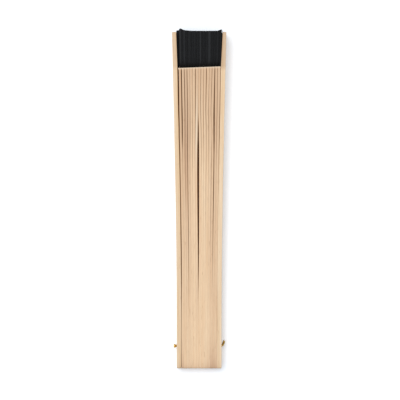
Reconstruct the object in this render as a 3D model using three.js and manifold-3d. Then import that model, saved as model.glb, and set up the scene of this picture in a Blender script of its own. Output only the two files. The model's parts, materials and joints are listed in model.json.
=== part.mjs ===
// A closed folding fan: two guards and a row of thin wooden ribs turn on a brass wire rivet, and a pleated
// cloth leaf is glued to the slips above the ribs' shoulders. It lies on its long edge, tips towards +Y.
import * as THREE from "three";
import { mergeVertices } from "three/addons/utils/BufferGeometryUtils.js";
import Module from "manifold-3d";

const wasm = await Module();
wasm.setup();

// Sticks, in millimetres. The tail and the shoulder are measured along a stick from the rivet's axis, and the
// guard's tip and the rib's slip from the shoulder.
const ribCount = 15;
const ribThickness = 1.55;
const guardThickness = 3.1;
const tailLength = 15.5;
const shoulderLength = 190.5;
const tipLength = 24;
const widthAtRivet = 14;
const widthAtShoulder = 22;
const slipWidth = 6;
const slipLength = 20;
const tailCorner = 1.5;
const shoulderCorner = 0.8;
const tipCorner = 0.6;
const ledgeRise = 0.3;

// The sticks lie side by side up to rootLength, then bend apart, because the leaf needs room between them.
const rootLength = 20;
const gapAtRivet = 0.06;
const bendSteps = 12;
const cornerSteps = 4;

// Some ribs have warped apart: how much more of the room those gaps take than the others, the length where
// each stands widest open, and how far it reaches from there. Gap 0 is the one beside the left guard.
const warps = [
  { gap: 0, share: 2, middle: 85, reach: 75 },
  { gap: 1, share: 2.4, middle: 158, reach: 30 },
  { gap: 3, share: 2, middle: 100, reach: 75 },
  { gap: 7, share: 14, middle: 100, reach: 70 },
  { gap: 12, share: 5, middle: 105, reach: 50 },
  { gap: 13, share: 3, middle: 160, reach: 28 },
];

// Leaf
const clothThickness = 0.13;
const clothGap = 0.03;
const guardSlack = 0.6;
const leafSetback = 0.6;
const leafLength = 24.2;
const openingStep = THREE.MathUtils.degToRad(10.5);
const panelOverlap = THREE.MathUtils.degToRad(0.15);

// Rivet: a wire pin, peened to a flared end on the left and bent towards the tips on the right
const pinDiameter = 1.6;
const boreClearance = 0.3;
const flareLip = 0.5;
const flareLength = 1.9;
const flareEdge = 0.3;
const flareGap = 0.3;
const bentReach = 1.8;
const bentRise = 3.5;
const bentStart = 1.2;
const pinSides = 12;
const bentSteps = 8;
const boreSides = 16;

const guardWood = new THREE.MeshStandardMaterial({ color: "#e9d0ad", roughness: 0.6, metalness: 0 });
const ribWood = new THREE.MeshStandardMaterial({ color: "#e6c5a2", roughness: 0.6, metalness: 0 });
const blackCloth = new THREE.MeshStandardMaterial({ color: "#232324", roughness: 0.85, metalness: 0 });
const brass = new THREE.MeshStandardMaterial({ color: "#c0924e", roughness: 0.35, metalness: 1 });

const lastStick = ribCount + 1;
const gapCount = ribCount + 1;
const taper = Math.atan((widthAtShoulder - widthAtRivet) / 2 / shoulderLength);

function sum(values) {
  return values.reduce((total, value) => total + value, 0);
}

// Cloth layers in a gap: a glued panel and a free one, and in the last gap the guard's own panel too
function layersIn(gap) {
  return gap === gapCount - 1 ? 3 : 2;
}

// The left guard stands off a little all along, and the pleat beside it lies slack
function slackIn(gap) {
  return gap === 0 ? guardSlack : 0;
}

function clothRoom(gap) {
  const layers = layersIn(gap);
  return layers * clothThickness + (layers + 1) * clothGap + slackIn(gap);
}

function rivetRoom(gap) {
  return gapAtRivet + slackIn(gap) / 3;
}

function halfWidth(y) {
  return widthAtRivet / 2 + y * Math.tan(taper);
}

// How far along the bend a length lies: 0 at the root and at the shoulder 1, as a clamped beam bends
function bendAt(y) {
  const along = Math.max(0, y - rootLength) / (shoulderLength - rootLength);
  return along < 1 ? (3 * along ** 2 - along ** 3) / 2 : 1 + 1.5 * (along - 1);
}

// How much more than its even share a gap takes at one length
function warpAt(gap, y) {
  const own = warps.filter((warp) => warp.gap === gap);
  return sum(own.map(({ share, middle, reach }) => {
    const away = Math.min(1, Math.abs(y - middle) / reach);
    return share * Math.cos((away * Math.PI) / 2) ** 2;
  }));
}

// The widths of all the gaps between the sticks at one length
function gapWidths(y) {
  const gaps = Array.from({ length: gapCount }, (_, gap) => gap);
  const even = gaps.map((gap) => THREE.MathUtils.lerp(rivetRoom(gap), clothRoom(gap), bendAt(y)));
  const warped = even.map((width, gap) => width * (1 + warpAt(gap, y)));
  return warped.map((width) => (width * sum(even)) / sum(warped));
}

// The x of a stick's left and right faces at one length: stick 0 is the left guard
function stickFaces(stick, y) {
  const gaps = gapWidths(y);
  const innerHalf = (ribCount * ribThickness + sum(gaps)) / 2;
  if (stick === 0) {
    return [-innerHalf - guardThickness, -innerHalf];
  }
  if (stick === lastStick) {
    return [innerHalf, innerHalf + guardThickness];
  }
  const left = -innerHalf + sum(gaps.slice(0, stick)) + (stick - 1) * ribThickness;
  return [left, left + ribThickness];
}

// The x of a cloth layer's faces: the layers share a gap's spare room evenly
function layerFaces(gap, layer, y) {
  const left = stickFaces(gap, y)[1];
  const right = stickFaces(gap + 1, y)[0];
  const air = (right - left - layersIn(gap) * clothThickness) / (layersIn(gap) + 1);
  const start = left + air + layer * (clothThickness + air);
  return [start, start + clothThickness];
}

// Stations round the two corners of a stick's end, from the end inwards (inward is 1 at a tail, -1 at a tip)
function roundedEnd(end, radius, inward) {
  return Array.from({ length: cornerSteps + 1 }, (_, step) => {
    const angle = (step / cornerSteps) * (Math.PI / 2);
    const y = end + inward * radius * (1 - Math.cos(angle));
    return { y, half: halfWidth(y) - radius * (1 - Math.sin(angle)) };
  });
}

function bodyStations() {
  const bodyEnd = shoulderLength - shoulderCorner;
  return Array.from({ length: bendSteps }, (_, step) => {
    const y = THREE.MathUtils.lerp(rootLength, bodyEnd, step / bendSteps);
    return { y, half: halfWidth(y) };
  });
}

function guardStations() {
  const shoulder = { y: shoulderLength, half: halfWidth(shoulderLength) };
  const tip = roundedEnd(shoulderLength + tipLength, tipCorner, -1).reverse();
  return [...roundedEnd(-tailLength, tailCorner, 1), ...bodyStations(), shoulder, ...tip];
}

function ribStations() {
  const shoulder = roundedEnd(shoulderLength, shoulderCorner, -1).reverse();
  const slip = [ledgeRise, slipLength].map((rise) => ({ y: shoulderLength + rise, half: slipWidth / 2 }));
  return [...roundedEnd(-tailLength, tailCorner, 1), ...bodyStations(), ...shoulder, ...slip];
}

// A thin plate along y, with the half width of each station and the x faces that facesAt gives there
function plate(stations, facesAt) {
  const geometry = new THREE.BoxGeometry(1, 1, 1, 1, stations.length - 1, 1);
  const position = geometry.attributes.position;
  for (let i = 0; i < position.count; i += 1) {
    const station = stations[Math.round((position.getY(i) + 0.5) * (stations.length - 1))];
    const [left, right] = facesAt(station.y);
    const x = position.getX(i) < 0 ? left : right;
    position.setXYZ(i, x, station.y, Math.sign(position.getZ(i)) * station.half);
  }
  return geometry;
}

function toSolid(geometry) {
  const bare = geometry.clone();
  bare.deleteAttribute("normal");
  bare.deleteAttribute("uv");
  const merged = mergeVertices(bare);
  const vertProperties = merged.attributes.position.array;
  const triVerts = new Uint32Array(merged.index.array);
  return new wasm.Manifold(new wasm.Mesh({ numProp: 3, vertProperties, triVerts }));
}

function toGeometry(solid) {
  const mesh = solid.getMesh();
  const geometry = new THREE.BufferGeometry();
  geometry.setAttribute("position", new THREE.BufferAttribute(mesh.vertProperties, 3));
  geometry.setIndex(new THREE.BufferAttribute(mesh.triVerts, 1));
  geometry.computeVertexNormals();
  return geometry;
}

function named(name, geometry, material) {
  const mesh = new THREE.Mesh(geometry, material);
  mesh.name = name;
  return mesh;
}

function numbered(word, number) {
  return `${word}_${String(number).padStart(2, "0")}`;
}

// The rivet's bore through every stick, along x
function boreSolid() {
  const radius = pinDiameter / 2 + boreClearance;
  const length = 2 * stickFaces(lastStick, 0)[1] + 2 * guardThickness;
  const cutter = new THREE.CylinderGeometry(radius, radius, length, boreSides);
  return toSolid(cutter.rotateZ(Math.PI / 2));
}

const bore = boreSolid();

function stickGeometry(stick, stations) {
  const blank = plate(stations, (y) => stickFaces(stick, y));
  return toGeometry(toSolid(blank).subtract(bore));
}

function rivetGeometry() {
  const outside = stickFaces(lastStick, 0)[1];
  const flareRoot = -outside - flareGap;
  const flareTip = flareRoot - flareLength;
  const flareRadius = pinDiameter / 2 + flareLip;
  const bentRoot = outside - pinDiameter / 4;
  const profile = [
    [0, flareTip],
    [flareRadius - flareEdge, flareTip],
    [flareRadius, flareTip + flareEdge],
    [pinDiameter / 2, flareRoot],
    [pinDiameter / 2, outside],
    [0, outside],
  ].map(([radius, along]) => new THREE.Vector2(radius, along));
  const shank = new THREE.LatheGeometry(profile, pinSides).rotateZ(-Math.PI / 2);

  const bentPath = new THREE.QuadraticBezierCurve3(
    new THREE.Vector3(bentRoot, 0, 0),
    new THREE.Vector3(outside + bentStart, 0, 0),
    new THREE.Vector3(outside + bentReach, bentRise, 0),
  );
  const section = new THREE.Shape().absarc(0, 0, pinDiameter / 2, 0, 2 * Math.PI);
  const bent = new THREE.ExtrudeGeometry(section, {
    curveSegments: pinSides / 2,
    steps: bentSteps,
    bevelEnabled: false,
    extrudePath: bentPath,
  });
  return toGeometry(toSolid(shank).add(toSolid(bent)));
}

function panelStations() {
  const start = shoulderLength + leafSetback;
  const halfAngle = (openingStep / 2 + panelOverlap) / 2;
  return [start, start + leafLength].map((y) => ({ y, half: y * Math.tan(halfAngle) }));
}

function panelGeometry(gap, layer) {
  return plate(panelStations(), (y) => layerFaces(gap, layer, y));
}

const fan = new THREE.Group();

fan.add(named("guard_left", stickGeometry(0, guardStations()), guardWood));
for (let rib = 1; rib <= ribCount; rib += 1) {
  fan.add(named(numbered("rib", rib), stickGeometry(rib, ribStations()), ribWood));
}
fan.add(named("guard_right", stickGeometry(lastStick, guardStations()), guardWood));
fan.add(named("rivet", rivetGeometry(), brass));

// Each stick carries a glued panel, and a free one folds back from it to the next stick
for (let gap = 0; gap < gapCount; gap += 1) {
  fan.add(named(numbered("leaf_panel", gap), panelGeometry(gap, 0), blackCloth));
  fan.add(named(numbered("leaf_pleat", gap + 1), panelGeometry(gap, 1), blackCloth));
}
fan.add(named(numbered("leaf_panel", lastStick), panelGeometry(gapCount - 1, 2), blackCloth));

// Tilted so that the lower edges lie level, and set down with the origin under the middle of the fan
fan.rotation.x = taper;
const box = new THREE.Box3().setFromObject(fan, true);
fan.position.set(0, -(box.min.y + box.max.y) / 2, -box.min.z);

export default fan;
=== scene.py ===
import json
import math
import random
import bpy
import numpy as np
from mathutils import Matrix, Vector


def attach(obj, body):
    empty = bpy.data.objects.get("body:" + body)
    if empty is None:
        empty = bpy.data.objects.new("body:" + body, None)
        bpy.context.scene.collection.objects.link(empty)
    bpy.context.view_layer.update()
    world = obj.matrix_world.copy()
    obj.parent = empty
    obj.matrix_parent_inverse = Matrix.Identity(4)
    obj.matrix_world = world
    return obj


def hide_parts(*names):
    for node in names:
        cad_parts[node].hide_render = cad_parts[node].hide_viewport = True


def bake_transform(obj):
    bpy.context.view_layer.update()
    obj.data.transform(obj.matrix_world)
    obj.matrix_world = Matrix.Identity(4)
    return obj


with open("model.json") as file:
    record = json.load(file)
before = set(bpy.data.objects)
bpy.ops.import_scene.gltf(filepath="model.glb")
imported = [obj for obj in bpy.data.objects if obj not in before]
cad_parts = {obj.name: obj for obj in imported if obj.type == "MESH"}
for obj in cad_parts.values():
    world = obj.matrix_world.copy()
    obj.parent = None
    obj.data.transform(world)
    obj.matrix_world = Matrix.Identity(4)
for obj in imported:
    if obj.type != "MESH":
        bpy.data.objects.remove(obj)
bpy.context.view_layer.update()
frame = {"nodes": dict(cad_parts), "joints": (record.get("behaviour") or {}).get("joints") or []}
mm = 0.001
ribNames = sorted(name for name in frame["nodes"] if name.startswith("rib_"))
stickNames = ["guard_left", *ribNames, "guard_right"]
lastStick = len(stickNames) - 1
print("frame loaded,", len(stickNames), "sticks")


def toLinear(hexColour):
    parts = [int(hexColour[i:i + 2], 16) / 255 for i in (1, 3, 5)]
    return [c / 12.92 if c <= 0.04045 else ((c + 0.055) / 1.055) ** 2.4 for c in parts] + [1.0]


def addNode(tree, kind, settings=None, links=None):
    node = tree.nodes.new(kind)
    for key, value in (settings or {}).items():
        setattr(node, key, value)
    for key, value in (links or {}).items():
        if isinstance(value, bpy.types.NodeSocket):
            tree.links.new(value, node.inputs[key])
        else:
            node.inputs[key].default_value = value
    return node


def newMaterial(name):
    material = bpy.data.materials.new(name)
    material.use_nodes = True
    material.node_tree.nodes.clear()
    return material


# Planed birch, left bare: pale and matt, with soft growth bands and fine fibres along the stick,
# short dark flecks, a pale painted highlight on the ribs' shoulders, a rib's edge and the guards' outer
# faces, and painted shade on the arrises beside open gaps
birch = {
    "bandSize": (1.3, 120, 3.2),  # mm, across the stick, along it and over its width
    "fibreSize": (0.28, 16, 0.28),  # mm; real fibres are about 0.03 mm, drawn coarser to show
    "fleckSize": (0.45, 7, 0.45),  # mm; real flecks are about 0.2 mm, drawn coarser to show
    "detail": {"band": 2.0, "fibre": 4.0, "fleck": 1.0},
    "bandRange": (0.3, 0.72),  # of the noise, from a band's pale wood to its dark wood
    "fibreRange": (0.3, 0.7), "fibreShade": (0.93, 1.05),
    "fleckRange": (0.66, 0.76), "fleckShare": 0.4, "fleck": "#b98b63",
    # the colour of the pale painted highlights
    "paintedHighlight": "#fae4c7",
    # the bands' two colours, what a darker, redder board keeps of them, and the sheen
    "guard": {"pale": "#f8dab6", "dark": "#edc79a", "shade": (0.62, 0.56, 0.53), "sheen": 0.15},
    "rib": {"pale": "#fbdbb5", "dark": "#f3cca3", "shade": (0.57, 0.47, 0.46), "sheen": 0.0},
    "raw": (0.98, 0.92, 0.83),  # what the never sanded faces between the sticks keep of the colour
    "roughness": (0.5, 0.64),
    "rawRoughness": 0.35,  # added on the unsanded faces
    "bumpDepth": 0.03,  # mm
    "bumpStrength": 0.5,
    "gapShadeReach": 0.22,  # mm of each edge beside an open gap that is painted darker and browner, painted shade of the gap
    "paintedGapShade": (0.5, 0.33, 0.19),  # what is left of the colour there
}


def makeBirch(name, thickness, board):
    material = newMaterial(name)
    tree = material.node_tree
    place = addNode(tree, "ShaderNodeTexCoord")
    stored = {}
    for label in ("grainShift", "tone", "tipTone", "narrow", "inner", "paintedHighlight", "across", "gapShade"):
        stored[label] = addNode(tree, "ShaderNodeAttribute", {"attribute_name": label})
    inner = stored["inner"].outputs["Fac"]
    shifted = addNode(tree, "ShaderNodeVectorMath", {"operation": "ADD"},
                      {0: place.outputs["Object"], 1: stored["grainShift"].outputs["Vector"]})
    grain = {}
    for layer, detail in birch["detail"].items():
        sized = addNode(tree, "ShaderNodeVectorMath", {"operation": "DIVIDE"},
                        {0: shifted.outputs[0], 1: [size * mm for size in birch[layer + "Size"]]})
        grain[layer] = addNode(tree, "ShaderNodeTexNoise", None,
                               {"Vector": sized.outputs[0], "Scale": 1.0, "Detail": detail}).outputs["Fac"]

    # bands, then fibres and flecks over them
    low, high = birch["bandRange"]
    bandShare = addNode(tree, "ShaderNodeMapRange", None,
                        {"Value": grain["band"], "From Min": low, "From Max": high})
    bands = addNode(tree, "ShaderNodeMix", {"data_type": "RGBA"},
                    {0: bandShare.outputs[0], 6: toLinear(board["pale"]), 7: toLinear(board["dark"])})
    low, high = birch["fibreRange"]
    fibreShade = addNode(tree, "ShaderNodeMapRange", None,
                         {"Value": grain["fibre"], "From Min": low, "From Max": high,
                          "To Min": birch["fibreShade"][0], "To Max": birch["fibreShade"][1]})
    fibres = addNode(tree, "ShaderNodeVectorMath", {"operation": "SCALE"},
                     {0: bands.outputs[2], "Scale": fibreShade.outputs[0]})
    low, high = birch["fleckRange"]
    fleckShare = addNode(tree, "ShaderNodeMapRange", None,
                         {"Value": grain["fleck"], "From Min": low, "From Max": high,
                          "To Max": birch["fleckShare"]})
    flecks = addNode(tree, "ShaderNodeMix", {"data_type": "RGBA"},
                     {0: fleckShare.outputs[0], 6: fibres.outputs[0], 7: toLinear(birch["fleck"])})

    # darker, redder boards; the guards' darker tips, partly glue stain and partly painted shade of the leaf,
    # are on the narrow faces only
    tones = addNode(tree, "ShaderNodeMath", {"operation": "MULTIPLY_ADD"},
                    {0: stored["tipTone"].outputs["Fac"], 1: stored["narrow"].outputs["Fac"],
                     2: stored["tone"].outputs["Fac"]})
    toned = addNode(tree, "ShaderNodeMix", {"data_type": "RGBA", "blend_type": "MULTIPLY"},
                    {0: tones.outputs[0], 6: flecks.outputs[2], 7: (*board["shade"], 1)})

    # unsanded inner faces, painted highlights, and painted shade on the arrises beside open gaps
    unsanded = addNode(tree, "ShaderNodeMix", {"data_type": "RGBA", "blend_type": "MULTIPLY"},
                       {0: inner, 6: toned.outputs[2], 7: (*birch["raw"], 1)})
    onEdge = addNode(tree, "ShaderNodeMath", {"operation": "SUBTRACT"},
                     {0: stored["paintedHighlight"].outputs["Fac"], 1: inner})
    edged = addNode(tree, "ShaderNodeMix", {"data_type": "RGBA"},
                    {0: onEdge.outputs[0], 6: unsanded.outputs[2], 7: toLinear(birch["paintedHighlight"])})
    fromMiddle = addNode(tree, "ShaderNodeMath", {"operation": "ABSOLUTE"},
                         {0: stored["across"].outputs["Fac"]})
    # painted shade: arrises beside an open gap are darkened and browned to stand for the shade inside it
    nearGapShade = addNode(tree, "ShaderNodeMapRange", None,
                        {"Value": fromMiddle.outputs[0], "From Min": 1 - 2 * birch["gapShadeReach"] / thickness})
    paintedGapShade = addNode(tree, "ShaderNodeMath", {"operation": "MULTIPLY"},
                      {0: nearGapShade.outputs[0], 1: stored["gapShade"].outputs["Fac"]})
    paintedGapShade = addNode(tree, "ShaderNodeMath", {"operation": "SUBTRACT", "use_clamp": True},
                      {0: paintedGapShade.outputs[0], 1: inner})
    gapShaded = addNode(tree, "ShaderNodeMix", {"data_type": "RGBA", "blend_type": "MULTIPLY"},
                    {0: paintedGapShade.outputs[0], 6: edged.outputs[2], 7: (*birch["paintedGapShade"], 1)})

    low, high = birch["roughness"]
    gloss = addNode(tree, "ShaderNodeMapRange", None,
                    {"Value": grain["fibre"], "To Min": low, "To Max": high})
    matt = addNode(tree, "ShaderNodeMath", {"operation": "MULTIPLY_ADD"},
                   {0: inner, 1: birch["rawRoughness"], 2: gloss.outputs[0]})
    bump = addNode(tree, "ShaderNodeBump", None,
                   {"Strength": birch["bumpStrength"], "Distance": birch["bumpDepth"] * mm,
                    "Height": grain["fibre"]})
    shader = addNode(tree, "ShaderNodeBsdfPrincipled", None,
                     {"Base Color": gapShaded.outputs[2], "Roughness": matt.outputs[0], "Normal": bump.outputs[0],
                      "IOR": 1.5, "Specular IOR Level": board["sheen"]})
    addNode(tree, "ShaderNodeOutputMaterial", None, {"Surface": shader.outputs[0]})
    return material


# Black cotton in plain weave: it swallows light; the raised threads carry a little painted highlight and the
# hollows painted shade, some pieces a painted grey highlight along the folds, and the foot along the
# shoulders painted shade
cotton = {
    "thread": 0.55,  # mm; real threads are about 0.25 mm, drawn coarser to show
    "threadRise": 0.5,  # how much of the relief the threads are; the rest is slubs
    "slubScale": 0.35,  # per mm, so a slub is about 3 mm long
    "deep": "#111112", "lit": "#222223",
    "paintedStreak": "#363637",  # painted highlight: folds painted grey where they would catch the light
    "paintedFootShade": "#030303",  # painted shade along the shoulders, at the leaf's foot
    "bumpDepth": 0.05,  # mm
    "bumpStrength": 0.6, "roughness": 0.85, "specular": 0.12, "sheen": 0.06, "sheenRoughness": 0.5,
}


def makeCotton(name):
    material = newMaterial(name)
    tree = material.node_tree
    flat = addNode(tree, "ShaderNodeUVMap", {"uv_map": "weave"})  # the map is in mm of flat cloth
    turns = addNode(tree, "ShaderNodeVectorMath", {"operation": "SCALE"},
                    {0: flat.outputs[0], "Scale": math.pi / cotton["thread"]})
    along = addNode(tree, "ShaderNodeSeparateXYZ", None, {0: turns.outputs[0]})
    warp = addNode(tree, "ShaderNodeMath", {"operation": "SINE"}, {0: along.outputs[0]})
    weft = addNode(tree, "ShaderNodeMath", {"operation": "SINE"}, {0: along.outputs[1]})
    crossing = addNode(tree, "ShaderNodeMath", {"operation": "MULTIPLY"},
                       {0: warp.outputs[0], 1: weft.outputs[0]})
    slub = addNode(tree, "ShaderNodeTexNoise", None,
                   {"Vector": flat.outputs[0], "Scale": cotton["slubScale"], "Detail": 3.0})
    height = addNode(tree, "ShaderNodeMath", {"operation": "MULTIPLY_ADD"},
                     {0: crossing.outputs[0], 1: cotton["threadRise"], 2: slub.outputs["Fac"]})
    # painted highlight and shade: the raised threads and slubs are drawn lighter, the hollows darker
    share = addNode(tree, "ShaderNodeMapRange", None, {"Value": height.outputs[0]})
    colour = addNode(tree, "ShaderNodeMix", {"data_type": "RGBA"},
                     {0: share.outputs[0], 6: toLinear(cotton["deep"]), 7: toLinear(cotton["lit"])})
    for label in ("paintedStreak", "paintedFootShade"):
        stored = addNode(tree, "ShaderNodeAttribute", {"attribute_name": label})
        colour = addNode(tree, "ShaderNodeMix", {"data_type": "RGBA"},
                         {0: stored.outputs["Fac"], 6: colour.outputs[2], 7: toLinear(cotton[label])})
    bump = addNode(tree, "ShaderNodeBump", None,
                   {"Strength": cotton["bumpStrength"], "Distance": cotton["bumpDepth"] * mm,
                    "Height": height.outputs[0]})
    shader = addNode(tree, "ShaderNodeBsdfPrincipled", None,
                     {"Base Color": colour.outputs[2], "Normal": bump.outputs[0],
                      "Roughness": cotton["roughness"], "IOR": 1.5, "Specular IOR Level": cotton["specular"],
                      "Sheen Weight": cotton["sheen"], "Sheen Roughness": cotton["sheenRoughness"]})
    addNode(tree, "ShaderNodeOutputMaterial", None, {"Surface": shader.outputs[0]})
    return material


# Drawn brass wire: warm and bright where it was clenched, with a thin brown tarnish in patches
brass = {
    "bright": "#e2bd6c", "tarnish": "#7d6028",
    "patch": 0.9,  # mm
    "tarnishRange": (0.42, 0.95),  # of the noise and of the bent end's tarnish and painted shade, from bright to tarnished
    "roughness": (0.22, 0.5),
    "scratch": (0.5, 0.12, 0.12),  # mm, along the wire and across it
    "bumpDepth": 0.02,  # mm
    "bumpStrength": 0.3,
}


def makeBrass(name):
    material = newMaterial(name)
    tree = material.node_tree
    place = addNode(tree, "ShaderNodeTexCoord")
    patch = addNode(tree, "ShaderNodeTexNoise", None,
                    {"Vector": place.outputs["Object"], "Scale": 1 / (brass["patch"] * mm), "Detail": 3.0})
    tarnishAndShade = addNode(tree, "ShaderNodeAttribute", {"attribute_name": "tarnishAndShade"})  # the bent end is darkest: more tarnish, and painted shade beside the guard
    darkening = addNode(tree, "ShaderNodeMath", {"operation": "ADD"},
                   {0: patch.outputs["Fac"], 1: tarnishAndShade.outputs["Fac"]})
    low, high = brass["tarnishRange"]
    share = addNode(tree, "ShaderNodeMapRange", None,
                    {"Value": darkening.outputs[0], "From Min": low, "From Max": high})
    colour = addNode(tree, "ShaderNodeMix", {"data_type": "RGBA"},
                     {0: share.outputs[0], 6: toLinear(brass["bright"]), 7: toLinear(brass["tarnish"])})
    low, high = brass["roughness"]
    dull = addNode(tree, "ShaderNodeMapRange", None,
                   {"Value": patch.outputs["Fac"], "To Min": low, "To Max": high})
    drawn = addNode(tree, "ShaderNodeVectorMath", {"operation": "DIVIDE"},
                    {0: place.outputs["Object"], 1: [size * mm for size in brass["scratch"]]})
    scratches = addNode(tree, "ShaderNodeTexNoise", None,
                        {"Vector": drawn.outputs[0], "Scale": 1.0, "Detail": 2.0})
    bump = addNode(tree, "ShaderNodeBump", None,
                   {"Strength": brass["bumpStrength"], "Distance": brass["bumpDepth"] * mm,
                    "Height": scratches.outputs["Fac"]})
    shader = addNode(tree, "ShaderNodeBsdfPrincipled", None,
                     {"Base Color": colour.outputs[2], "Metallic": 1.0, "Roughness": dull.outputs[0],
                      "Normal": bump.outputs[0]})
    addNode(tree, "ShaderNodeOutputMaterial", None, {"Surface": shader.outputs[0]})
    return material


# The sticks, in mm. The tail and the shoulder are measured along a stick from the rivet, the tip and the slip
# from the shoulder, and gap 0 is the one beside the left guard
stick = {
    "tail": 14.9, "shoulder": 190.5, "tip": 24,
    "slipHalf": 3, "slipRises": (0.3, 1, 5, 10, 15, 19.8, 19.9, 20),  # half a slip's width, and its stations
    "halfAtRivet": 7, "halfAtShoulder": 11,
    "ribThickness": 1.55, "guardThickness": 3.1,
    "tailCorner": 1.5, "shoulderCorner": 0.8, "tipCorner": 0.6,
    "tailSteps": 16, "shoulderSteps": 12, "tipSteps": 10, "bodySteps": 72,  # at the corners and between
    "boreRadius": 1.1, "boreSides": 32, "boreLength": 80,
    "boreRim": 1.5,  # CAD points this near the rivet's axis are the bore's
    "ribRounding": 0.035, "guardRounding": 0.2, "roundSteps": 4,  # sanded arrises
    # what is left of each gap between the upper edges at the shoulder; they turn to it over headReach, and
    # back to their faces headEnd past the shoulder
    "headGaps": [0.68, 0.44, 0.27, 0.25, 0.1, 0.1, 0.28, 0.1, 0.19, 0.13, 0.26, 0.12, 0.17, 0.34, 0.16, 0.2],
    "headReach": (135, 180), "headEnd": 0.5,
    # sanding the shoulders level has shut the gaps to shutGap, from shutReach before them to shutEnd past
    # them; shutSteps are extra stations there
    "shutGap": 0.05, "shutReach": 1.3, "shutEnd": 1, "shutSteps": (0.4, 0.8, 1.3, 2),
    # where the upper edges beside a gap are worn, or swollen by a negative wear: gap, middle, reach and wear
    "widened": [
        (0, 118, 70, -0.105), (0, 30, 100, -0.05), (2, 130, 50, 0.03), (3, 70, 60, 0.05), (7, 85, 80, 0.13),
        (10, 105, 45, 0.03), (12, 120, 60, -0.13), (13, 112, 85, 0.14), (15, 22, 30, 0.03),
    ],
    "footGap": [(100, 0.08), (115, 0.03)],  # what is left of a gap between the lower edges, by length
    "footEnd": (184, 189),  # the lower edges turn back to their faces here
    "closedGap": 0.06, "gapShadeWidth": 0.35,  # beside a gap wider than the first, the arrises take the painted gap shade over the second
    "rootFill": 0.02, "rootEnd": (40, 70),  # a rib's faces swell where the sticks are pressed, as far as this
    "tipRecess": {0: 0.3, lastStick: 0.65},  # how much thinner the guards' tips are, where the leaf presses
    "shoulderSkew": 0.5, "shoulderRise": 0.15, "rowHalf": 13,  # the shoulders' line runs up to the right
    "lean": 0.03,  # degrees that a rib may stand off its neighbours, about the rivet
    "wave": 0.06, "waveLength": 28,  # how much an edge wavers along its length
    # how much darker the wood is, by length
    "toneAlong": {
        "guard_left": [(-15, 0.22), (50, 0.2), (110, 0.16), (170, 0.1), (188, 0.06)],
        "rib": [(50, 0.0), (120, 0.03), (190, 0.38)],
        "guard_right": [(-15, 0.1), (50, 0.08), (110, 0.06), (170, 0.06), (188, 0.0)],
    },
    "tailEndTone": 0.26, "tailEndReach": 4,  # darker still at the tail's end
    "tipTone": {0: (0.39, 0.44), lastStick: (0.65, 0.75)},  # of the guards' edges, darker beside the leaf: partly glue stain, partly painted shade of the leaf
    "tipToneRise": (-2.5, 1),  # where it sets in, from the shoulder
    # the sticks are cut from different boards: how much darker each rib is, from rib_01 on, how that fades by
    # length, and what chance adds
    "boardTones": [0.15, 0.2, 0.25, 0.18, 0.06, 0.02, 0.02, 0.0, 0.02, 0.02, 0.08, 0.18, 0.25, 0.28, 0.26],
    "boardFade": [(0, 0.55), (35, 1), (150, 1), (190, 0.35)],
    "boardSpread": {"guard": (-0.02, 0.02), "rib": (-0.02, 0.05)},
    # stretches that handling has darkened: rib, middle, reach and tone
    "handled": [
        (1, 130, 50, 0.1), (2, 130, 50, 0.12), (3, 130, 45, 0.35), (4, 130, 45, 0.18), (7, 38, 24, 0.16),
        (1, -12, 12, 0.2), (11, -12, 14, 0.1), (12, -12, 14, 0.12), (13, -12, 14, 0.36), (14, -12, 14, 0.33),
        (15, -12, 14, 0.26),
    ],
    "paintedStreak": {7: (148, 22, 0.55)},  # a painted highlight along a rib's upper edge, where it catches the light: middle, reach and share
    "shoulderHighlight": 0.85, "shoulderReach": 0.7,  # painted highlight on the ribs' shoulders: how pale, and how far down
    "outerHighlight": 0.2,  # how much paler the guards' outer faces are painted, a painted highlight
    "grainStep": 0.037,  # m, from one stick's place in the grain to the next one's
    "seed": 5,
}

guardBirch = makeBirch("planedBirchGuard", stick["guardThickness"], birch["guard"])
ribBirch = makeBirch("planedBirchRib", stick["ribThickness"], birch["rib"])
blackCotton = makeCotton("blackCottonPlainWeave")
drawnBrass = makeBrass("drawnBrassWire")
print("materials made")

# every stick is drawn along +Y from the rivet's axis, then laid down on its lower edge by half its taper
stance = {
    "pivot": frame["joints"][0]["pos_m"],
    "tilt": math.atan((stick["halfAtShoulder"] - stick["halfAtRivet"]) / stick["shoulder"]),
}


def toRow(point):
    return Vector(stance["pivot"]) + Matrix.Rotation(stance["tilt"], 3, "X") @ Vector(point)


def isGuard(index):
    return index in (0, lastStick)


def thicknessOf(index):
    return stick["guardThickness"] if isGuard(index) else stick["ribThickness"]


def roundingOf(index):
    return stick["guardRounding"] if isGuard(index) else stick["ribRounding"]


# the middle of a CAD stick at each of its stations, as lengths along the stick and x, in mm
def cadSpine(name):
    turned = Matrix.Rotation(-stance["tilt"], 3, "X")
    points = [turned @ (v.co - Vector(stance["pivot"])) for v in frame["nodes"][name].data.vertices]
    points = np.array([p for p in points if math.hypot(p.y, p.z) > stick["boreRim"] * mm]) / mm
    lengths = np.unique(np.round(points[:, 1], 2))
    slack = 0.02  # points this near each other are of one station
    middles = []
    for length in lengths:
        here = points[np.abs(points[:, 1] - length) < slack, 0]
        middles.append((here.min() + here.max()) / 2)
    return lengths, np.array(middles)


spines = [cadSpine(name) for name in stickNames]


# a smooth line through the CAD stations
def middleAt(index, y):
    lengths, middles = spines[index]
    slopes = np.gradient(middles, lengths)
    y = np.asarray(y, float)
    i = np.clip(np.searchsorted(lengths, y) - 1, 0, len(lengths) - 2)
    span = lengths[i + 1] - lengths[i]
    t = np.clip((y - lengths[i]) / span, 0, 1)
    start = middles[i] * (1 + 2 * t) * (1 - t) ** 2 + slopes[i] * span * t * (1 - t) ** 2
    return start + middles[i + 1] * t * t * (3 - 2 * t) + slopes[i + 1] * span * t * t * (t - 1)


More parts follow.
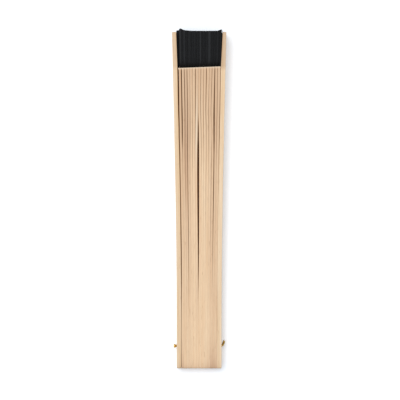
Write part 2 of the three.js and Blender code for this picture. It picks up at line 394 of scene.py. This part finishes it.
def halfWidthAt(y):
    return stick["halfAtRivet"] + y * math.tan(stance["tilt"])


# a soft hump of height 1 at its middle
def hump(y, middle, reach):
    return np.exp(-((y - middle) / reach) ** 2)


# rounded corners of an end, from the end inwards
def cornerStations(end, radius, inward, count):
    angles = [math.pi / 2 * step / count for step in range(count + 1)]
    lengths = [end + inward * radius * (1 - math.cos(a)) for a in angles]
    return [(y, halfWidthAt(y) - radius * (1 - math.sin(a))) for y, a in zip(lengths, angles)]


# the shoulders' line runs up to the right
def shoulderAt(index):
    across = float(middleAt(index, stick["shoulder"])) / stick["rowHalf"]
    return stick["shoulder"] + stick["shoulderRise"] + stick["shoulderSkew"] * across


# the length, half width, end rounding, painted highlight and tones of each station of a stick
def stickStations(index):
    shoulder = stick["shoulder"] if isGuard(index) else shoulderAt(index)
    tail = cornerStations(-stick["tail"], stick["tailCorner"], 1, stick["tailSteps"])
    if isGuard(index):
        end = shoulder + stick["tip"]
        head = cornerStations(end, stick["tipCorner"], -1, stick["tipSteps"])[::-1]
    else:
        end = shoulder + stick["slipRises"][-1]
        head = cornerStations(shoulder, stick["shoulderCorner"], -1, stick["shoulderSteps"])[::-1]
        head += [(shoulder + rise, stick["slipHalf"]) for rise in stick["slipRises"]]
    body = list(np.linspace(tail[-1][0], head[0][0], stick["bodySteps"])[1:-1])
    if not isGuard(index):
        body = sorted(body + [head[0][0] - step for step in stick["shutSteps"]])
    stations = tail + [(y, halfWidthAt(y)) for y in body] + head
    rounding = roundingOf(index)
    toneAlong = stick["toneAlong"][stickNames[index] if isGuard(index) else "rib"]
    tipTones = stick["tipTone"].get(index, (0, 0))
    tipLengths = [shoulder + rise for rise in (*stick["tipToneRise"], stick["tip"])]
    middle, reach, share = stick["paintedStreak"].get(index, (0, 1, 0))
    rows = []
    for y, half in stations:
        inset = max(0.0, rounding - min(y + stick["tail"], end - y))
        thin = math.sqrt(max(0.0, rounding ** 2 - inset ** 2)) - rounding
        tone = np.interp(y, *zip(*toneAlong))
        tone += stick["tailEndTone"] * hump(y, -stick["tail"], stick["tailEndReach"])
        # painted highlights: a streak on one rib's edge, and the ribs' shoulders
        paintedHighlight = share * hump(y, middle, reach)
        if not isGuard(index) and y <= shoulder:
            paintedHighlight += stick["shoulderHighlight"] * hump(y, shoulder, stick["shoulderReach"])
            thin += stick["rootFill"] * np.interp(y, stick["rootEnd"], (1, 0))
        rows.append((y, half, thin, paintedHighlight, tone, np.interp(y, tipLengths, (0, *tipTones))))
    return np.array(rows)


def addAttribute(mesh, name, values):
    attribute = mesh.attributes.new(name, "FLOAT", "POINT")
    attribute.data.foreach_set("value", np.asarray(values, np.float32))


def spineObject(name, points):
    mesh = bpy.data.meshes.new(name)
    mesh.from_pydata([Vector(p) for p in points], [(i, i + 1) for i in range(len(points) - 1)], [])
    made = bpy.data.objects.new(name, mesh)
    bpy.context.scene.collection.objects.link(made)
    return made


def openTree(name, inputs, output):
    tree = bpy.data.node_groups.new(name, "GeometryNodeTree")
    for label, kind in inputs:
        tree.interface.new_socket(label, in_out="INPUT", socket_type="NodeSocket" + kind)
    tree.interface.new_socket(output, in_out="OUTPUT", socket_type="NodeSocketGeometry")
    return tree, addNode(tree, "NodeGroupInput")


# turns what the modifiers give into a plain mesh
def keepMesh(made):
    graph = bpy.context.evaluated_depsgraph_get()
    plain = bpy.data.meshes.new_from_object(made.evaluated_get(graph), preserve_all_data_layers=True,
                                            depsgraph=graph)
    plain.name = made.name
    made.modifiers.clear()
    made.data = plain


# runs a tree on a spine and keeps the result as a plain mesh
def growMesh(made, tree, values):
    modifier = made.modifiers.new("grow", "NODES")
    modifier.node_group = tree
    for item in tree.interface.items_tree:
        if item.in_out == "INPUT" and item.name in values:
            modifier[item.identifier] = values[item.name]
    weighted = made.modifiers.new("flatFaces", "WEIGHTED_NORMAL")
    weighted.keep_sharp = True
    keepMesh(made)


def makeStickTree():
    tree, given = openTree("fanStick", [
        ("Spine", "Geometry"), ("Thickness", "Float"), ("Edge Rounding", "Float"), ("Wave", "Float"),
        ("Seed", "Float"), ("Bore Radius", "Float"), ("Tilt", "Rotation"), ("Pivot", "Vector"),
        ("Outer Highlight", "Float"), ("Grain Shift", "Vector"), ("Wood", "Material")], "Stick")
    sectionHeight = 2 * mm
    line = addNode(tree, "GeometryNodeMeshToCurve", None, {"Mesh": given.outputs["Spine"]})
    level = addNode(tree, "GeometryNodeSetCurveNormal", {"mode": "Z_UP"}, {"Curve": line.outputs[0]})
    section = addNode(tree, "GeometryNodeCurvePrimitiveQuadrilateral", None,
                      {"Width": given.outputs["Thickness"], "Height": sectionHeight})
    rounded = addNode(tree, "GeometryNodeFilletCurve", {"mode": "POLY"},
                      {"Curve": section.outputs[0], "Count": stick["roundSteps"],
                       "Radius": given.outputs["Edge Rounding"]})
    blank = addNode(tree, "GeometryNodeCurveToMesh", None,
                    {"Curve": level.outputs[0], "Profile Curve": rounded.outputs[0], "Fill Caps": True})

    # the section is drawn to the width of each station, and thinned at the ends
    here = addNode(tree, "GeometryNodeInputPosition")
    parts = addNode(tree, "ShaderNodeSeparateXYZ", None, {0: here.outputs[0]})
    stations = {}
    for label in ("halfWidth", "thin", "middle", "paintedHighlight", "upperLeft", "upperRight",
                  "lowerLeft", "lowerRight", "gapShadeLeft", "gapShadeRight"):
        named = addNode(tree, "GeometryNodeInputNamedAttribute", {"data_type": "FLOAT"}, {"Name": label})
        stations[label] = named.outputs[0]
    side = addNode(tree, "ShaderNodeMath", {"operation": "SIGN"}, {0: parts.outputs["Z"]})
    spread = addNode(tree, "ShaderNodeMath", {"operation": "SUBTRACT"},
                     {0: stations["halfWidth"], 1: sectionHeight / 2})
    fromMiddle = addNode(tree, "ShaderNodeMath", {"operation": "SUBTRACT"},
                         {0: parts.outputs["X"], 1: stations["middle"]})
    face = addNode(tree, "ShaderNodeMath", {"operation": "SIGN"}, {0: fromMiddle.outputs[0]})
    thinned = addNode(tree, "ShaderNodeMath", {"operation": "MULTIPLY"},
                      {0: face.outputs[0], 1: stations["thin"]})
    slow = addNode(tree, "ShaderNodeVectorMath", {"operation": "MULTIPLY"},
                   {0: here.outputs[0], 1: (0, 1, 0)})
    waver = addNode(tree, "ShaderNodeTexNoise", {"noise_dimensions": "4D"},
                    {"Vector": slow.outputs[0], "W": given.outputs["Seed"],
                     "Scale": 1 / (stick["waveLength"] * mm), "Detail": 1.0})
    centred = addNode(tree, "ShaderNodeMath", {"operation": "SUBTRACT"}, {0: waver.outputs["Fac"], 1: 0.5})
    wavy = addNode(tree, "ShaderNodeMath", {"operation": "MULTIPLY_ADD"},
                   {0: centred.outputs[0], 1: given.outputs["Wave"], 2: spread.outputs[0]})
    widened = addNode(tree, "ShaderNodeMath", {"operation": "MULTIPLY"},
                      {0: side.outputs[0], 1: wavy.outputs[0]})

    # each of the four edges stands where its gap wants it
    onRight = addNode(tree, "FunctionNodeCompare", {"operation": "GREATER_THAN"},
                      {0: face.outputs[0], 1: 0.0})
    onTop = addNode(tree, "FunctionNodeCompare", {"operation": "GREATER_THAN"},
                    {0: side.outputs[0], 1: 0.0})
    sided = {}
    for label in ("lower", "upper", "gapShade"):
        sided[label] = addNode(tree, "GeometryNodeSwitch", {"input_type": "FLOAT"},
                               {0: onRight.outputs[0], 1: stations[label + "Left"],
                                2: stations[label + "Right"]})
    moved = addNode(tree, "GeometryNodeSwitch", {"input_type": "FLOAT"},
                    {0: onTop.outputs[0], 1: sided["lower"].outputs[0], 2: sided["upper"].outputs[0]})
    turned = addNode(tree, "ShaderNodeMath", {"operation": "ADD"},
                     {0: moved.outputs[0], 1: thinned.outputs[0]})
    offset = addNode(tree, "ShaderNodeCombineXYZ", None, {"X": turned.outputs[0], "Z": widened.outputs[0]})

    # what the wood's material reads along the stick
    # the guards' outer faces get a painted highlight, added to the stations' painted highlights
    outer = addNode(tree, "ShaderNodeMath", {"operation": "MULTIPLY", "use_clamp": True},
                    {0: face.outputs[0], 1: given.outputs["Outer Highlight"]})
    worn = addNode(tree, "ShaderNodeMath", {"operation": "ADD"}, {0: outer.outputs[0], 1: stations["paintedHighlight"]})
    marked = blank
    for label, value in (("paintedHighlight", worn), ("across", face), ("gapShade", sided["gapShade"])):
        marked = addNode(tree, "GeometryNodeStoreNamedAttribute", {"data_type": "FLOAT", "domain": "POINT"},
                         {"Geometry": marked.outputs[0], "Name": label, "Value": value.outputs[0]})
    planed = addNode(tree, "GeometryNodeSetPosition", None,
                     {"Geometry": marked.outputs[0], "Offset": offset.outputs[0]})

    # the narrow faces, and the broad ones apart from the outer one of a guard
    broadFrom = 0.98  # of a face's normal, along x
    facing = addNode(tree, "GeometryNodeInputNormal")
    across = addNode(tree, "ShaderNodeSeparateXYZ", None, {0: facing.outputs[0]})
    broad = addNode(tree, "ShaderNodeMath", {"operation": "ABSOLUTE"}, {0: across.outputs["X"]})
    narrow = addNode(tree, "FunctionNodeCompare", {"operation": "LESS_THAN"},
                     {0: broad.outputs[0], 1: broadFrom})
    outwards = addNode(tree, "ShaderNodeMath", {"operation": "MULTIPLY"},
                       {0: across.outputs["X"], 1: given.outputs["Outer Highlight"]})
    inside = addNode(tree, "FunctionNodeCompare", {"operation": "LESS_EQUAL"},
                     {0: outwards.outputs[0], 1: 0.0})
    inner = addNode(tree, "FunctionNodeBooleanMath", {"operation": "NIMPLY"},
                    {0: inside.outputs[0], 1: narrow.outputs[0]})
    marked = planed
    for label, value in (("narrow", narrow), ("inner", inner)):
        marked = addNode(tree, "GeometryNodeStoreNamedAttribute", {"data_type": "FLOAT", "domain": "FACE"},
                         {"Geometry": marked.outputs[0], "Name": label, "Value": value.outputs[0]})

    drill = addNode(tree, "GeometryNodeMeshCylinder", None,
                    {"Vertices": stick["boreSides"], "Radius": given.outputs["Bore Radius"],
                     "Depth": stick["boreLength"] * mm})
    sideways = addNode(tree, "GeometryNodeTransform", None,
                       {"Geometry": drill.outputs[0], "Rotation": (0, math.pi / 2, 0)})
    bored = addNode(tree, "GeometryNodeMeshBoolean", {"operation": "DIFFERENCE", "solver": "EXACT"},
                    {"Mesh 1": marked.outputs[0], "Mesh 2": sideways.outputs[0]})
    laid = addNode(tree, "GeometryNodeTransform", None,
                   {"Geometry": bored.outputs[0], "Translation": given.outputs["Pivot"],
                    "Rotation": given.outputs["Tilt"]})
    shifted = addNode(tree, "GeometryNodeStoreNamedAttribute",
                      {"data_type": "FLOAT_VECTOR", "domain": "POINT"},
                      {"Geometry": laid.outputs[0], "Name": "grainShift",
                       "Value": given.outputs["Grain Shift"]})
    smooth = addNode(tree, "GeometryNodeSetShadeSmooth", None, {"Geometry": shifted.outputs[0]})
    real = addNode(tree, "GeometryNodeRealizeInstances", None, {"Geometry": smooth.outputs[0]})
    finished = addNode(tree, "GeometryNodeSetMaterial", None,
                       {"Geometry": real.outputs[0], "Material": given.outputs["Wood"]})
    addNode(tree, "NodeGroupOutput", None, {0: finished.outputs[0]})
    return tree


# how far the upper and the lower edges on each side of a gap stand from their own faces, away from the gap,
# and how much painted gap shade the arrises beside it take
def gapEdges(index, gap, y):
    if gap < 0 or gap >= lastStick:
        return 0 * y, 0 * y, 0 * y
    shoulder = stick["shoulder"]
    onBody = y < shoulder + stick["headEnd"]
    room = middleAt(gap + 1, y) - middleAt(gap, y) - (thicknessOf(gap) + thicknessOf(gap + 1)) / 2
    foot = np.interp(y, *zip(*stick["footGap"]))
    closed = np.maximum(0, room - foot) / 2 * np.interp(y, stick["footEnd"], (1, 0))
    worn = 0 * y
    for edge, middle, reach, wear in stick["widened"]:
        if edge == gap:
            worn = worn + wear * np.cos(np.clip((y - middle) / reach, -1, 1) * math.pi / 2) ** 2
    start, full = stick["headReach"]
    risen = np.clip((y - start) / (full - start), 0, 1) * onBody
    headed = (stick["headGaps"][gap] - room) / 2 * risen * risen * (3 - 2 * risen)
    shut = 0 * y
    if not isGuard(index):
        shut = hump(y, shoulderAt(index), stick["shutReach"]) * (y < shoulder + stick["shutEnd"])
    upper = (worn + headed) * (1 - shut) - (room - stick["shutGap"]) / 2 * shut
    # painted shade of the gap on the arrises beside it, once it is open
    gapShade = np.clip((room + 2 * upper - stick["closedGap"]) / stick["gapShadeWidth"], 0, 1) * onBody
    return upper, -closed, gapShade


# how far a guard's inner face stands back towards its tip
def tipRecess(index, y):
    return stick["tipRecess"].get(index, 0) * np.clip((y - stick["shoulder"]) / stick["tip"], 0, 1)


# the tone of a rib's board at each length; it pales towards the shoulder and the tail
def boardTone(index, y):
    tone = stick["boardTones"][index - 1] * np.interp(y, *zip(*stick["boardFade"]))
    for rib, middle, reach, darker in stick["handled"]:
        if rib == index:
            tone = tone + darker * hump(y, middle, reach)
    return tone


stickTree = makeStickTree()
chance = random.Random(stick["seed"])
for index, name in enumerate(stickNames):
    kind = "guard" if isGuard(index) else "rib"
    stations = stickStations(index)
    lengths = stations[:, 0]
    middles = middleAt(index, lengths)
    upperBefore, lowerBefore, gapShadeBefore = gapEdges(index, index - 1, lengths)
    upperAfter, lowerAfter, gapShadeAfter = gapEdges(index, index, lengths)
    before = (index > 0) * tipRecess(index, lengths)
    after = (index < lastStick) * tipRecess(index, lengths)
    made = spineObject(name + "_planed", [(x * mm, y * mm, 0) for x, y in zip(middles, lengths)])
    board = chance.uniform(*stick["boardSpread"][kind])
    standing = 0
    if kind == "rib":
        board = board + boardTone(index, lengths)
        standing = math.radians(chance.uniform(-1, 1) * stick["lean"])
    for label, values in {
        "halfWidth": stations[:, 1] * mm,
        "thin": stations[:, 2] * mm,
        "middle": middles * mm,
        "paintedHighlight": stations[:, 3],
        "tone": stations[:, 4] + board,
        "tipTone": stations[:, 5],
        "upperLeft": (upperBefore + before) * mm,
        "upperRight": -(upperAfter + after) * mm,
        "lowerLeft": (lowerBefore + before) * mm,
        "lowerRight": -(lowerAfter + after) * mm,
        "gapShadeLeft": gapShadeBefore,
        "gapShadeRight": gapShadeAfter,
    }.items():
        addAttribute(made.data, label, values)
    growMesh(made, stickTree, {
        "Thickness": thicknessOf(index) * mm,
        "Edge Rounding": roundingOf(index) * mm,
        "Wave": 0.0 if kind == "guard" else stick["wave"] * mm,
        "Seed": float(index),
        "Bore Radius": stick["boreRadius"] * mm,
        "Tilt": (stance["tilt"] + standing, 0.0, 0.0),
        "Pivot": tuple(stance["pivot"]),
        "Outer Highlight": {0: -1, lastStick: 1}.get(index, 0) * stick["outerHighlight"],
        "Grain Shift": (index * stick["grainStep"], chance.uniform(0, 1), chance.uniform(0, 1)),
        "Wood": guardBirch if kind == "guard" else ribBirch,
    })
    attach(made, name)
    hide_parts(name)
print("sticks made")

# The wire rivet, in mm: a flared end on the left, a bent end on the right
rivet = {
    "pinRadius": 0.8, "sides": 28,
    "flareRadius": 1.3, "flareLength": 1.9, "flareGap": 0.3, "flareCurve": 1.3, "flareSteps": 8,
    "flareEdge": 0.25, "edgeSteps": 5, "faceRise": 0.02,  # the rounded rim, and how little its face is domed
    "bentRadius": 0.8, "bentReach": 1.8, "bentRise": 3.5, "bentStart": 1.2, "bentSteps": 14,
    "pinEnd": 0.6, "bendFrom": 0.4,  # inside the guard's face, where the pin ends and the bend begins
    "burr": [(0.03, 0.08, 0.06), (0.045, 0.12, 0.2)],  # the snipped end: on in x, on in y, off the radius
    "bentTarnishAndShade": 0.32,  # how much darker the bent end is: more tarnish, and painted shade beside the guard
}


def makeRivetTree():
    tree, given = openTree("wireRivet", [
        ("Spine", "Geometry"), ("Sides", "Int"), ("Tilt", "Rotation"), ("Pivot", "Vector"),
        ("Metal", "Material")], "Rivet")
    line = addNode(tree, "GeometryNodeMeshToCurve", None, {"Mesh": given.outputs["Spine"]})
    section = addNode(tree, "GeometryNodeCurvePrimitiveCircle", None,
                      {"Resolution": given.outputs["Sides"], "Radius": 1.0})
    radius = addNode(tree, "GeometryNodeInputNamedAttribute", {"data_type": "FLOAT"}, {"Name": "wireRadius"})
    wire = addNode(tree, "GeometryNodeCurveToMesh", None,
                   {"Curve": line.outputs[0], "Profile Curve": section.outputs[0], "Scale": radius.outputs[0],
                    "Fill Caps": True})
    laid = addNode(tree, "GeometryNodeTransform", None,
                   {"Geometry": wire.outputs[0], "Translation": given.outputs["Pivot"],
                    "Rotation": given.outputs["Tilt"]})
    smooth = addNode(tree, "GeometryNodeSetShadeSmooth", None, {"Geometry": laid.outputs[0]})
    real = addNode(tree, "GeometryNodeRealizeInstances", None, {"Geometry": smooth.outputs[0]})
    finished = addNode(tree, "GeometryNodeSetMaterial", None,
                       {"Geometry": real.outputs[0], "Material": given.outputs["Metal"]})
    addNode(tree, "NodeGroupOutput", None, {0: finished.outputs[0]})
    return tree


# the rivet's axis from left to right, as x, y and radius
def rivetLine():
    outside = float(middleAt(lastStick, 0)) + stick["guardThickness"] / 2
    root = -outside - rivet["flareGap"]
    tip = root - rivet["flareLength"]
    flare = rivet["flareRadius"]
    edge = rivet["flareEdge"]
    rim = tip + rivet["faceRise"]
    line = [(tip, 0, flare - 2 * edge), (rim, 0, flare - edge)]
    for step in range(1, rivet["edgeSteps"] + 1):
        a = math.pi / 2 * step / rivet["edgeSteps"]
        line.append((rim + edge * (1 - math.cos(a)), 0, flare - edge * (1 - math.sin(a))))
    for step in range(1, rivet["flareSteps"] + 1):
        t = step / rivet["flareSteps"]
        x = rim + edge + (root - rim - edge) * t
        line.append((x, 0, flare + (rivet["pinRadius"] - flare) * t ** rivet["flareCurve"]))
    line.append((-outside, 0, rivet["pinRadius"]))
    line.append((outside - rivet["pinEnd"], 0, rivet["pinRadius"]))
    inside = rivet["bendFrom"]
    for step in range(rivet["bentSteps"] + 1):
        t = step / rivet["bentSteps"]
        x = outside - inside + 2 * t * (1 - t) * (rivet["bentStart"] + inside)
        x += t * t * (rivet["bentReach"] + inside)
        line.append((x, t * t * rivet["bentRise"], rivet["bentRadius"]))
    x, y, radius = line[-1]
    line += [(x + onX, y + onY, radius - less) for onX, onY, less in rivet["burr"]]
    return line


line = rivetLine()
made = spineObject("rivet_wire", [(x * mm, y * mm, 0) for x, y, radius in line])
addAttribute(made.data, "wireRadius", [radius * mm for x, y, radius in line])
# the bent end is darker: tarnish and painted shade
addAttribute(made.data, "tarnishAndShade", [rivet["bentTarnishAndShade"] if x > 0 else 0.0 for x, y, radius in line])
growMesh(made, makeRivetTree(), {
    "Sides": rivet["sides"],
    "Tilt": (stance["tilt"], 0.0, 0.0),
    "Pivot": tuple(stance["pivot"]),
    "Metal": drawnBrass,
})
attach(made, "guard_left")
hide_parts("rivet")
print("rivet made")

# The leaf, in mm. It is one pleated strip, drawn in pieces that meet at the folds
leaf = {
    "thickness": 0.12, "start": 191.1, "length": 24.2, "rows": 28,
    "foldAngle": 2.7,  # degrees about the rivet, from the middle of a stick to a fold
    "foldDrop": 1.5, "foldSteps": 8,  # how deep the round of a fold is
    "foldPress": 0.015,  # how far two neighbouring folds are pressed into each other
    "footReach": 0.9,  # the most that half a fold under the sticks is wide
    "sink": 2.5, "sinkReach": 1.3,  # how much lower the folds are where they meet the shoulders
    "slackLow": 3.6,  # how much lower the slack pleat beside the left guard lies
    "guardClear": 0.09,  # from the middle of that pleat's cloth to the wood
    "slipClear": 3.4,  # half the width over which the cloth lies flat on a slip
    "foldSpread": 0.3, "waver": 0.35, "waverLength": 3.5, "phases": 6.3,  # how unevenly the folds stand
    "runSteps": 6, "longRunSteps": 14,  # points between two folds, and beside a guard
    # how far the leaf's far edge is lifted, by x
    "lift": [(-15.2, 0.9), (-12.6, 1.6), (-10.4, 0.6), (-6, 0.1), (4, 0.0), (12.5, 0.1), (14.6, 0.9)],
    "liftLow": 0.3, "liftFull": 9,  # how much of it is left under the sticks, and the height where it is full
    "footShadeReach": 2.7,  # how far the painted shade along the shoulders reaches into the cloth
    "paintedStreak": (0, 0, 0, 0.12, 0.5),  # how strongly a piece of the leaf may carry the painted grey highlight
    "crease": 50,  # degrees; sharper edges are drawn sharp
    "seed": 11,
}
chance = random.Random(leaf["seed"])
foldTops = [(chance.uniform(-1, 1), chance.uniform(0, leaf["phases"])) for _ in stickNames]
foldFeet = [(chance.uniform(-1, 1), chance.uniform(0, leaf["phases"])) for _ in stickNames]
foldTops[0] = (-leaf["slackLow"] / leaf["foldSpread"], 0)
foldSlope = math.tan(math.radians(leaf["foldAngle"]))


def faceAt(index, y, side):
    return middleAt(index, y) + side * thicknessOf(index) / 2


def foldHeight(folds, index, y):
    stand, phase = folds[index]
    sunk = leaf["sink"] * math.exp(-((y - leaf["start"]) / leaf["sinkReach"]) ** 2)
    uneven = stand + leaf["waver"] * math.sin(y / leaf["waverLength"] + phase)
    return y * foldSlope - sunk + leaf["foldSpread"] * uneven


# from the side of a fold up to its crest, as x and z
def foldSide(crestX, crestZ, reach, up):
    angles = [math.pi / 2 * step / leaf["foldSteps"] for step in range(leaf["foldSteps"] + 1)]
    drop = up * leaf["foldDrop"]
    return [(crestX + reach * math.cos(a), crestZ - drop * (1 - math.sin(a))) for a in angles]


def eased(start, end, count):
    points = []
    for step in range(1, count):
        t = step / count
        x = start[0] + (end[0] - start[0]) * t * t * (3 - 2 * t)
        points.append((x, start[1] + (end[1] - start[1]) * t))
    return points


def joined(runs, count):
    path = list(runs[0])
    for run in runs[1:]:
        path += eased(path[-1], run[0], count) + list(run)
    return path


# the x of the cloth's layers in a gap: the panel glued to the stick on its left, the free pleat, and in the
# last gap the panel on the guard
def layersAt(gap, y):
    left = float(faceAt(gap, y, 1) - tipRecess(gap, y))
    right = float(faceAt(gap + 1, y, -1) + tipRecess(gap + 1, y))
    count = 3 if gap == lastStick - 1 else 2
    if gap == 0:
        return [left + leaf["guardClear"], right - leaf["guardClear"]]
    return [left + (right - left) * (2 * layer + 1) / (2 * count) for layer in range(count)]


def crestAt(gap, y):
    layers = layersAt(gap, y)
    return (layers[0] + layers[1]) / 2


# half the room that two neighbouring folds share
def reachOf(first, second):
    return (second - first) / 2 - leaf["thickness"] / 2 + leaf["foldPress"]


# the section of each piece of cloth in a gap, as x and z
def gapPaths(gap, y):
    layers = layersAt(gap, y)
    crest = crestAt(gap, y)
    middle = float(middleAt(gap, y))
    nextMiddle = float(middleAt(gap + 1, y))
    clear = leaf["slipClear"]
    few = leaf["runSteps"]
    many = leaf["longRunSteps"]
    top = foldHeight(foldTops, gap, y)
    foot = -foldHeight(foldFeet, gap + 1, y)
    footReach = min(reachOf(middle, nextMiddle), leaf["footReach"])
    if gap == 0:
        panel = joined([[(layers[0], -y * foldSlope)], foldSide(crest, top, layers[0] - crest, 1)], many)
    else:
        ownFoot = -foldHeight(foldFeet, gap, y)
        panel = joined([foldSide(middle, ownFoot, footReach, -1)[::-1],
                        [(layers[0], -clear), (layers[0], 0), (layers[0], clear)],
                        foldSide(crest, top, -reachOf(crestAt(gap - 1, y), crest), 1)], few)
    if len(layers) == 3:
        fold = (layers[1] + layers[2]) / 2
        pleat = joined([foldSide(crest, top, layers[1] - crest, 1)[::-1],
                        foldSide(fold, foot, layers[1] - fold, -1)], many)
        lining = joined([foldSide(fold, foot, layers[2] - fold, -1)[::-1], [(layers[2], -foot)]], many)
        return [panel, pleat, lining]
    pleat = joined([foldSide(crest, top, reachOf(crest, crestAt(gap + 1, y)), 1)[::-1],
                    [(layers[1], clear), (layers[1], 0), (layers[1], -clear)],
                    foldSide(nextMiddle, foot, -footReach, -1)], few)
    return [panel, pleat]


def clothMesh(name, paths, lengths):
    mesh = bpy.data.meshes.new(name)
    count = len(paths[0])
    points = []
    flat = []
    for path, y in zip(paths, lengths):
        share = (y - leaf["start"]) / leaf["length"]
        run = 0
        for i, (x, z) in enumerate(path):
            run += math.dist((x, z), path[i - 1]) if i else 0
            raised = leaf["liftLow"] + (1 - leaf["liftLow"]) * min(1, max(0, z / leaf["liftFull"])) ** 2
            lift = np.interp(x, *zip(*leaf["lift"])) * raised * share ** 3
            skew = stick["shoulderSkew"] * x / stick["rowHalf"] * (1 - share)
            points.append(toRow((x * mm, (y + lift + skew) * mm, z * mm)))
            flat.append((run, y))
    faces = []
    for row in range(len(lengths) - 1):
        for i in range(count - 1):
            corner = row * count + i
            faces.append((corner, corner + count, corner + count + 1, corner + 1))
    mesh.from_pydata(points, [], faces)
    weave = mesh.uv_layers.new(name="weave")
    for loop in mesh.loops:
        weave.data[loop.index].uv = flat[loop.vertex_index]
    # a painted grey highlight on some pieces
    addAttribute(mesh, "paintedStreak", [chance.choice(leaf["paintedStreak"])] * len(points))
    # painted shade at the foot, along the shoulders
    addAttribute(mesh, "paintedFootShade", [math.exp(-((y - leaf["start"]) / leaf["footShadeReach"]) ** 2) for x, y in flat])
    made = bpy.data.objects.new(name, mesh)
    bpy.context.scene.collection.objects.link(made)
    mesh.materials.append(blackCotton)
    wall = made.modifiers.new("wall", "SOLIDIFY")
    wall.thickness = leaf["thickness"] * mm
    wall.offset = 0
    keepMesh(made)
    made.data.shade_smooth()
    made.data.set_sharp_from_angle(angle=math.radians(leaf["crease"]))
    return made


lengths = np.linspace(leaf["start"], leaf["start"] + leaf["length"], leaf["rows"])
for gap in range(lastStick):
    rows = [gapPaths(gap, y) for y in lengths]
    for layer in range(len(rows[0])):
        isPleat = layer == 1
        holder = gap + layer // 2
        node = "leaf_pleat_%02d" % (gap + 1) if isPleat else "leaf_panel_%02d" % holder
        made = clothMesh(node + "_cloth", [row[layer] for row in rows], lengths)
        if isPleat:
            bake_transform(made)
        else:
            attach(made, stickNames[holder])
        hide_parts(node)
print("leaf made")

# Camera straight above, as far off as a copy stand; in mm, the picture spans 272.3 at the sticks' upper edges
shot = {"centre": (0.55, 0.32), "height": 1120, "edges": 18, "span": 272.3, "sensor": 36, "farClip": 20000}
camera = bpy.data.cameras.new("camera")
camera.sensor_width = shot["sensor"]
camera.lens = shot["sensor"] * (shot["height"] - shot["edges"]) / shot["span"]
camera.clip_end = shot["farClip"] * mm
view = bpy.data.objects.new("camera", camera)
view.location = (shot["centre"][0] * mm, shot["centre"][1] * mm, shot["height"] * mm)
bpy.context.scene.collection.objects.link(view)
bpy.context.scene.camera = view

# Studio, in m: one soft lamp from the upper left, an even surround, and a pale floor that shows white
studio = {
    "lampPower": 15.2, "lampSize": 0.95, "lampPlace": (-0.28, 0.27, 1.6),
    "surround": (0.455, 0.5, 0.555), "white": (1, 1, 1),
    "floor": (0.78, 0.78, 0.78), "floorSeen": (1.235, 1.25, 1.27), "floorReach": 0.6, "floorSides": 96,
}
lamp = bpy.data.lights.new("softKey", "AREA")
lamp.energy = studio["lampPower"]
lamp.size = studio["lampSize"]
key = bpy.data.objects.new("softKey", lamp)
key.location = studio["lampPlace"]
key.rotation_mode = "QUATERNION"
key.rotation_quaternion = (-Vector(studio["lampPlace"])).to_track_quat("-Z", "Y")
bpy.context.scene.collection.objects.link(key)


# one colour for the studio's light, and one for the rays that show it: straight, off gloss or through glass
def shownColour(tree, lit, shown):
    ray = addNode(tree, "ShaderNodeLightPath")
    seen = addNode(tree, "ShaderNodeMath", {"operation": "MAXIMUM"},
                   {0: ray.outputs["Is Camera Ray"], 1: ray.outputs["Is Glossy Ray"]})
    seen = addNode(tree, "ShaderNodeMath", {"operation": "MAXIMUM"},
                   {0: seen.outputs[0], 1: ray.outputs["Is Transmission Ray"]})
    colour = addNode(tree, "ShaderNodeMix", {"data_type": "RGBA"},
                     {0: seen.outputs[0], 6: (*lit, 1), 7: (*shown, 1)})
    return colour.outputs[2]


world = bpy.data.worlds.new("surround")
bpy.context.scene.world = world
world.use_nodes = True
sky = world.node_tree
sky.nodes.clear()
dome = shownColour(sky, studio["surround"], studio["white"])
glow = addNode(sky, "ShaderNodeBackground", None, {"Color": dome, "Strength": 1.0})
addNode(sky, "ShaderNodeOutputWorld", None, {"Surface": glow.outputs[0]})

floorMesh = bpy.data.meshes.new("floor")
turns = [2 * math.pi * step / studio["floorSides"] for step in range(studio["floorSides"])]
rim = [(studio["floorReach"] * math.cos(a), studio["floorReach"] * math.sin(a), 0) for a in turns]
floorMesh.from_pydata(rim, [], [range(len(rim))])
floor = bpy.data.objects.new("floor", floorMesh)
bpy.context.scene.collection.objects.link(floor)
# Matt paper: it shows white and keeps the fan's soft shadow
paper = newMaterial("mattPaper")
shade = shownColour(paper.node_tree, studio["floor"], studio["floorSeen"])
surface = addNode(paper.node_tree, "ShaderNodeBsdfDiffuse", None, {"Color": shade})
addNode(paper.node_tree, "ShaderNodeOutputMaterial", None, {"Surface": surface.outputs[0]})
floorMesh.materials.append(paper)
bpy.context.scene.view_settings.view_transform = "Standard"
print("studio set")
